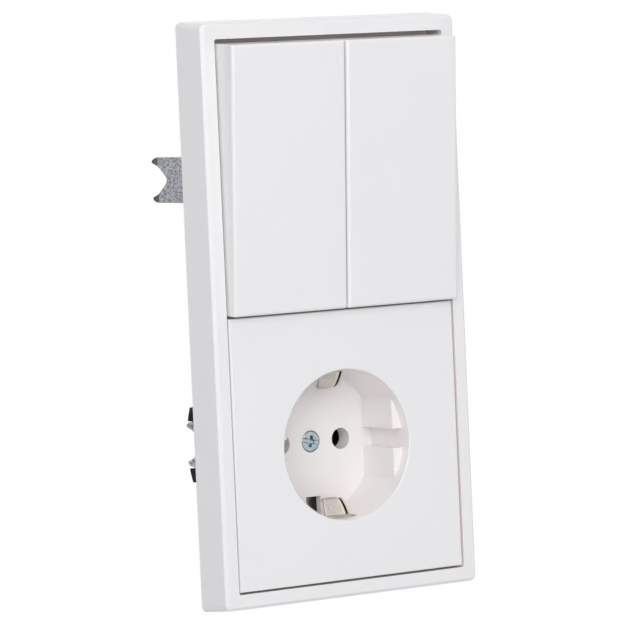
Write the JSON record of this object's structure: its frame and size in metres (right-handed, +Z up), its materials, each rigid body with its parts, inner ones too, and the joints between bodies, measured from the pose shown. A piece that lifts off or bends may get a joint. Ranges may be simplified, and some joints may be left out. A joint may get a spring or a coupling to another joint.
{
  "type": "switch and socket combination",
  "caption": "Flush wall unit: a two-gang cover frame with a double rocker switch above a round recessed earthed socket outlet, with spreading claws behind.",
  "frame": {"origin": "middle of the cover frame's back face, on the wall plane", "axes": "+Z up, +Y back into the wall, +X to the right seen from the front"},
  "size_m": [0.081, 0.0501, 0.152],
  "materials": {
    "white_gloss": "pure white, moulded, glossy",
    "white_inner": "off-white, moulded",
    "grey_base": "light grey, moulded",
    "black_base": "black, moulded",
    "galvanised": "galvanised sheet",
    "zinc": "bright zinc plate",
    "nickel": "nickel plate",
    "contact_brass": "bare brass",
    "release_grey": "dark grey, moulded"
  },
  "bodies": {
    "housing": {"cover_frame": "white_gloss", "switch_cap": "white_inner", "switch_base": "grey_base", "switch_ring": "galvanised", "switch_rivets": "zinc", "frame_holder": "white_inner", "fixed_contacts": "contact_brass", "socket_cover": "white_gloss", "socket_base": "black_base", "socket_ring": "galvanised", "socket_rivets": "zinc", "earth_bracket": "nickel", "centre_screw": "zinc", "contact_sleeve_left": "contact_brass", "contact_sleeve_right": "contact_brass"},
    "rocker_left": {"rocker_left": "white_gloss", "carrier_left": "white_inner", "plunger_left": "white_inner"},
    "contact_lever_left": {"contact_lever_left": "contact_brass"},
    "rocker_right": {"rocker_right": "white_gloss", "carrier_right": "white_inner", "plunger_right": "white_inner"},
    "contact_lever_right": {"contact_lever_right": "contact_brass"},
    "switch_claw_left": {"switch_claw_left": "galvanised"},
    "switch_claw_screw_left": {"switch_claw_screw_left": "zinc"},
    "switch_claw_right": {"switch_claw_right": "galvanised"},
    "switch_claw_screw_right": {"switch_claw_screw_right": "zinc"},
    "socket_claw_left": {"socket_claw_left": "galvanised"},
    "socket_claw_screw_left": {"socket_claw_screw_left": "zinc"},
    "socket_claw_right": {"socket_claw_right": "galvanised"},
    "socket_claw_screw_right": {"socket_claw_screw_right": "zinc"},
    "switch_release_left": {"switch_release_left": "release_grey"},
    "switch_release_right": {"switch_release_right": "release_grey"},
    "socket_release_left": {"socket_release_left": "release_grey"},
    "socket_release_right": {"socket_release_right": "release_grey"}
  },
  "joints": [
    {"name": "rocker_left_hinge", "type": "hinge", "parent": "housing", "child": "rocker_left", "pos_m": [-0.0099, -0.006, 0.0355], "axis": [1, 0, 0], "range_deg": [-7, 0]},
    {"name": "contact_lever_left_hinge", "type": "hinge", "parent": "housing", "child": "contact_lever_left", "pos_m": [-0.0099, 0.0122, 0.0355], "axis": [1, 0, 0], "range_deg": [0, 12.5]},
    {"name": "rocker_right_hinge", "type": "hinge", "parent": "housing", "child": "rocker_right", "pos_m": [0.0099, -0.006, 0.0355], "axis": [1, 0, 0], "range_deg": [-7, 0]},
    {"name": "contact_lever_right_hinge", "type": "hinge", "parent": "housing", "child": "contact_lever_right", "pos_m": [0.0099, 0.0122, 0.0355], "axis": [1, 0, 0], "range_deg": [0, 12.5]},
    {"name": "switch_claw_screw_left_turn", "type": "hinge", "parent": "housing", "child": "switch_claw_screw_left", "pos_m": [-0.0259, 0, 0.035], "axis": [0, 1, 0], "range_deg": [0, 310]},
    {"name": "switch_claw_left_hinge", "type": "hinge", "parent": "housing", "child": "switch_claw_left", "pos_m": [-0.0239, 0.0036, 0.035], "axis": [0, 0, 1], "range_deg": [0, 12]},
    {"name": "switch_claw_screw_right_turn", "type": "hinge", "parent": "housing", "child": "switch_claw_screw_right", "pos_m": [0.0259, 0, 0.035], "axis": [0, 1, 0], "range_deg": [0, 310]},
    {"name": "switch_claw_right_hinge", "type": "hinge", "parent": "housing", "child": "switch_claw_right", "pos_m": [0.0239, 0.0036, 0.035], "axis": [0, 0, -1], "range_deg": [0, 12]},
    {"name": "socket_claw_screw_left_turn", "type": "hinge", "parent": "housing", "child": "socket_claw_screw_left", "pos_m": [-0.0259, 0, -0.03475], "axis": [0, 1, 0], "range_deg": [0, 310]},
    {"name": "socket_claw_left_hinge", "type": "hinge", "parent": "housing", "child": "socket_claw_left", "pos_m": [-0.0239, 0.0036, -0.03475], "axis": [0, 0, 1], "range_deg": [0, 12]},
    {"name": "socket_claw_screw_right_turn", "type": "hinge", "parent": "housing", "child": "socket_claw_screw_right", "pos_m": [0.0259, 0, -0.03475], "axis": [0, 1, 0], "range_deg": [0, 310]},
    {"name": "socket_claw_right_hinge", "type": "hinge", "parent": "housing", "child": "socket_claw_right", "pos_m": [0.0239, 0.0036, -0.03475], "axis": [0, 0, -1], "range_deg": [0, 12]},
    {"name": "switch_release_left_press", "type": "slide", "parent": "housing", "child": "switch_release_left", "axis": [0, -1, 0], "range_m": [0, 0.001], "stiffness_N_per_m": 300, "springref_m": -0.001},
    {"name": "switch_release_right_press", "type": "slide", "parent": "housing", "child": "switch_release_right", "axis": [0, -1, 0], "range_m": [0, 0.001], "stiffness_N_per_m": 300, "springref_m": -0.001},
    {"name": "socket_release_left_press", "type": "slide", "parent": "housing", "child": "socket_release_left", "axis": [0, -1, 0], "range_m": [0, 0.001], "stiffness_N_per_m": 300, "springref_m": -0.001},
    {"name": "socket_release_right_press", "type": "slide", "parent": "housing", "child": "socket_release_right", "axis": [0, -1, 0], "range_m": [0, 0.001], "stiffness_N_per_m": 300, "springref_m": -0.001}
  ],
  "couplings": [
    {"joint": "contact_lever_left_hinge", "follows": "rocker_left_hinge", "ratio": -1.7143},
    {"joint": "contact_lever_right_hinge", "follows": "rocker_right_hinge", "ratio": -1.7143},
    {"joint": "switch_claw_screw_left_turn", "follows": "switch_claw_left_hinge", "ratio": 25},
    {"joint": "switch_claw_screw_right_turn", "follows": "switch_claw_right_hinge", "ratio": 25},
    {"joint": "socket_claw_screw_left_turn", "follows": "socket_claw_left_hinge", "ratio": 25},
    {"joint": "socket_claw_screw_right_turn", "follows": "socket_claw_right_hinge", "ratio": 25}
  ]
}
